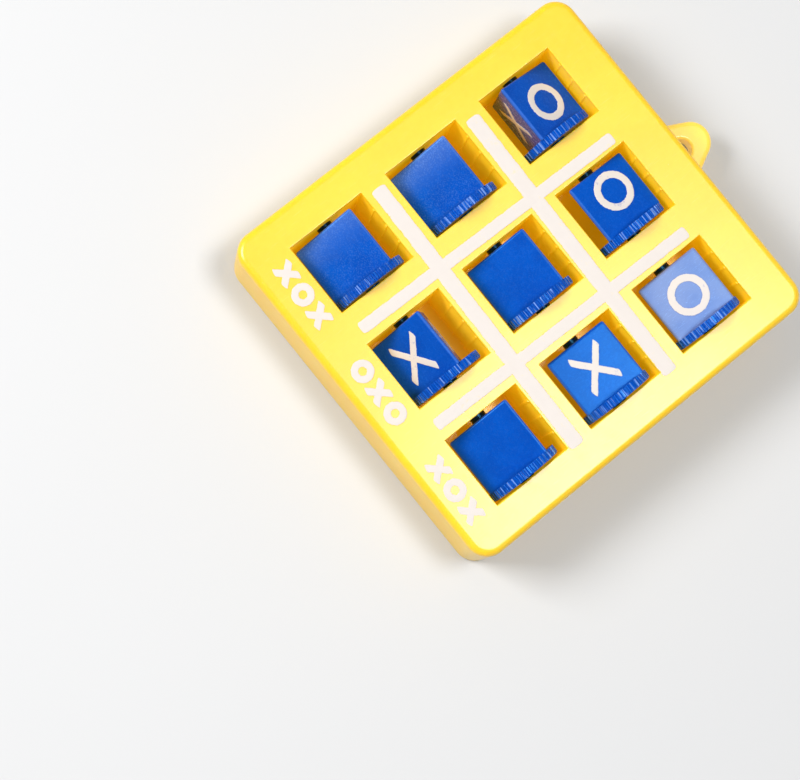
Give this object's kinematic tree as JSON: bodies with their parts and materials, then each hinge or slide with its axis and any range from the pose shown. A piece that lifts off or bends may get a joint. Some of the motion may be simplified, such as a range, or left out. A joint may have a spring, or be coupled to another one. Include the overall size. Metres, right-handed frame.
{
  "type": "pocket tic tac toe board",
  "caption": "Palm-sized tic tac toe game: a moulded case with a window for each square, and three-sided tumblers that turn on axles to show a ring, a cross or a blank, with a key-ring tab.",
  "frame": {"origin": "centre of the case's flat back face", "axes": "+X to the player's right along the tumblers' axles, +Y up the board towards the key-ring tab, +Z out of the front face"},
  "size_m": [0.056, 0.0667, 0.0148],
  "materials": {
    "case_yellow": "satin moulded",
    "tumbler_blue": "glossy moulded",
    "print_white": "printed ink"
  },
  "bodies": {
    "case": {"front_shell": "case_yellow", "back_cover": "case_yellow", "grid_print": "print_white", "border_print_left": "print_white", "border_print_center": "print_white", "border_print_right": "print_white"},
    "tumbler_top_left": {"tumbler_top_left": "tumbler_blue", "ring_print_top_left": "print_white", "cross_print_top_left": "print_white"},
    "tumbler_top_center": {"tumbler_top_center": "tumbler_blue", "ring_print_top_center": "print_white", "cross_print_top_center": "print_white"},
    "tumbler_top_right": {"tumbler_top_right": "tumbler_blue", "ring_print_top_right": "print_white", "cross_print_top_right": "print_white"},
    "tumbler_middle_left": {"tumbler_middle_left": "tumbler_blue", "ring_print_middle_left": "print_white", "cross_print_middle_left": "print_white"},
    "tumbler_middle_center": {"tumbler_middle_center": "tumbler_blue", "ring_print_middle_center": "print_white", "cross_print_middle_center": "print_white"},
    "tumbler_middle_right": {"tumbler_middle_right": "tumbler_blue", "ring_print_middle_right": "print_white", "cross_print_middle_right": "print_white"},
    "tumbler_bottom_left": {"tumbler_bottom_left": "tumbler_blue", "ring_print_bottom_left": "print_white", "cross_print_bottom_left": "print_white"},
    "tumbler_bottom_center": {"tumbler_bottom_center": "tumbler_blue", "ring_print_bottom_center": "print_white", "cross_print_bottom_center": "print_white"},
    "tumbler_bottom_right": {"tumbler_bottom_right": "tumbler_blue", "ring_print_bottom_right": "print_white", "cross_print_bottom_right": "print_white"}
  },
  "joints": [
    {"name": "turn_top_left", "type": "hinge", "parent": "case", "child": "tumbler_top_left", "pos_m": [-0.017, 0.017, 0.0091], "axis": [1, 0, 0], "continuous": true},
    {"name": "turn_top_center", "type": "hinge", "parent": "case", "child": "tumbler_top_center", "pos_m": [0, 0.017, 0.0091], "axis": [1, 0, 0], "continuous": true},
    {"name": "turn_top_right", "type": "hinge", "parent": "case", "child": "tumbler_top_right", "pos_m": [0.017, 0.017, 0.0091], "axis": [1, 0, 0], "continuous": true},
    {"name": "turn_middle_left", "type": "hinge", "parent": "case", "child": "tumbler_middle_left", "pos_m": [-0.017, 0, 0.0091], "axis": [1, 0, 0], "continuous": true},
    {"name": "turn_middle_center", "type": "hinge", "parent": "case", "child": "tumbler_middle_center", "pos_m": [0, 0, 0.0091], "axis": [1, 0, 0], "continuous": true},
    {"name": "turn_middle_right", "type": "hinge", "parent": "case", "child": "tumbler_middle_right", "pos_m": [0.017, 0, 0.0091], "axis": [1, 0, 0], "continuous": true},
    {"name": "turn_bottom_left", "type": "hinge", "parent": "case", "child": "tumbler_bottom_left", "pos_m": [-0.017, -0.017, 0.0091], "axis": [1, 0, 0], "continuous": true},
    {"name": "turn_bottom_center", "type": "hinge", "parent": "case", "child": "tumbler_bottom_center", "pos_m": [0, -0.017, 0.0091], "axis": [1, 0, 0], "continuous": true},
    {"name": "turn_bottom_right", "type": "hinge", "parent": "case", "child": "tumbler_bottom_right", "pos_m": [0.017, -0.017, 0.0091], "axis": [1, 0, 0], "continuous": true}
  ]
}
